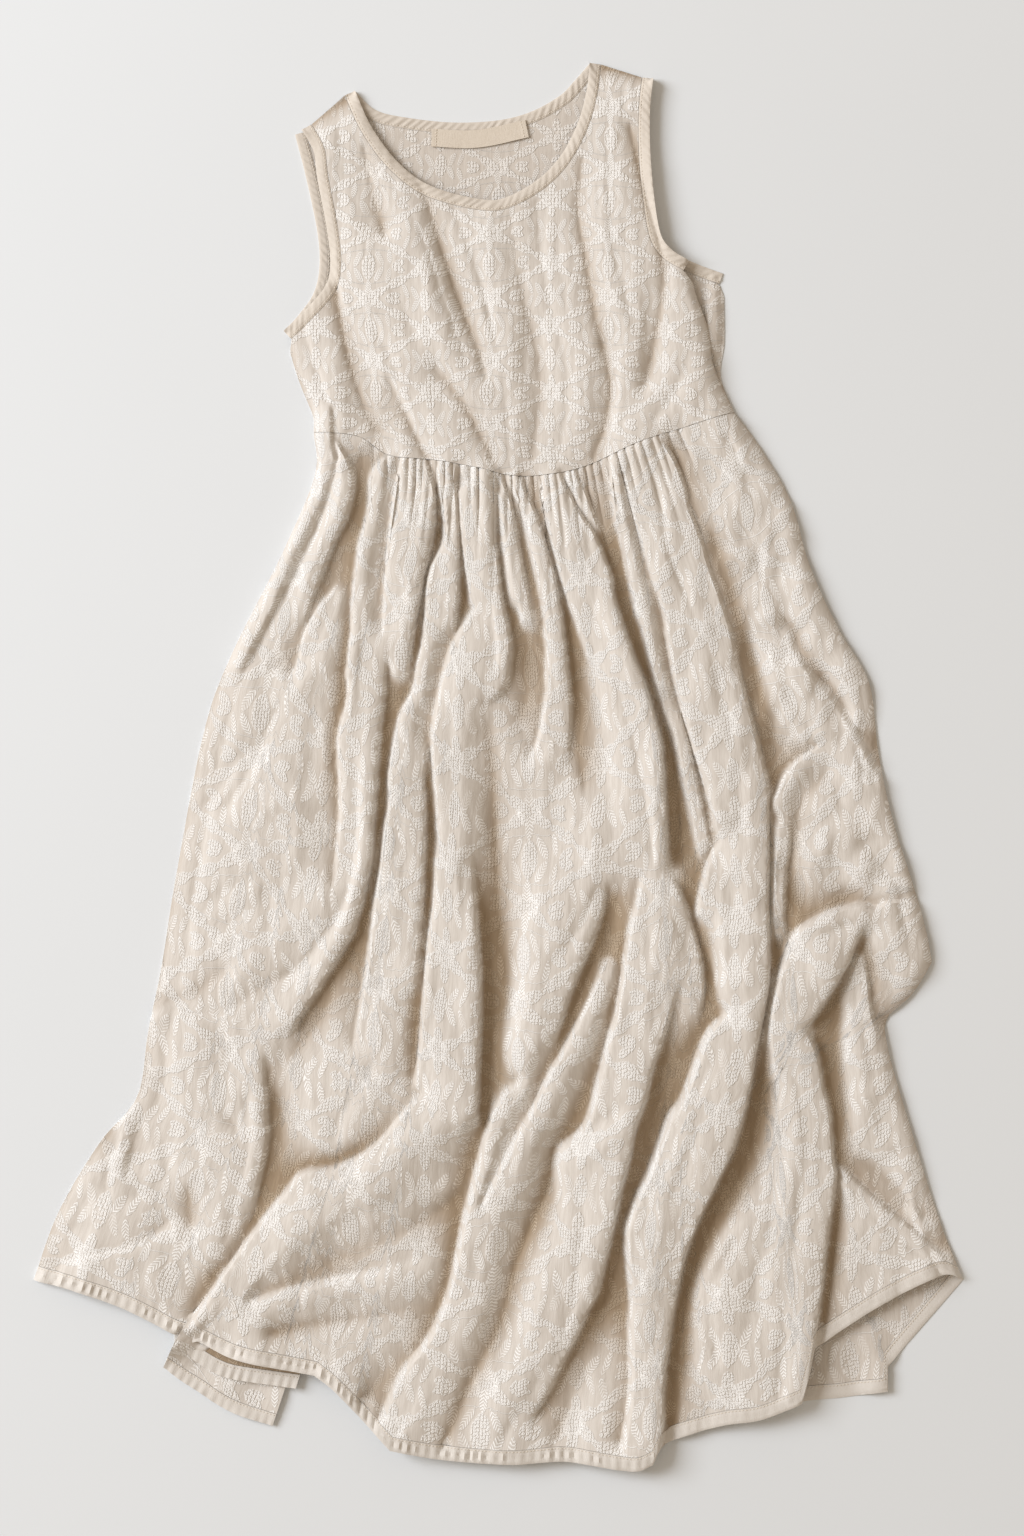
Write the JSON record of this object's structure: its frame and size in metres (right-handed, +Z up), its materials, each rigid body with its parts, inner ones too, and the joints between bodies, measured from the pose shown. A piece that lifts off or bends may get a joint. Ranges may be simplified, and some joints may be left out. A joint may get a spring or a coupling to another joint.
{
  "type": "sleeveless empire-line dress",
  "caption": "Long sleeveless cotton dress with a scoop neck, gathered empire waist and embroidered cloth, laid flat on a surface with its skirt in loose folds.",
  "frame": {"origin": "middle of the laid dress's footprint, on the surface that it lies on", "axes": "+X towards the dress's right-hand side as seen from above with the neck at the top, +Y towards the neck, +Z up from the surface"},
  "size_m": [0.836, 1.264, 0.0235],
  "materials": {
    "cotton": "cream crinkled cotton with raised white embroidery",
    "hem": "the same cotton, turned up and stitched",
    "binding": "matt bias-cut cotton strip",
    "label": "matt woven tape, blank"
  },
  "bodies": {
    "root": {"bodice_front": "cotton", "bodice_back": "cotton", "skirt_front": "cotton", "skirt_front_pleat": "cotton", "skirt_back": "cotton", "hem_front": "hem", "hem_back": "hem", "neck_binding_front": "binding", "neck_binding_back": "binding", "armhole_binding_left_front": "binding", "armhole_binding_left_back": "binding", "armhole_binding_right_front": "binding", "armhole_binding_right_back": "binding", "label": "label"}
  },
  "joints": []
}
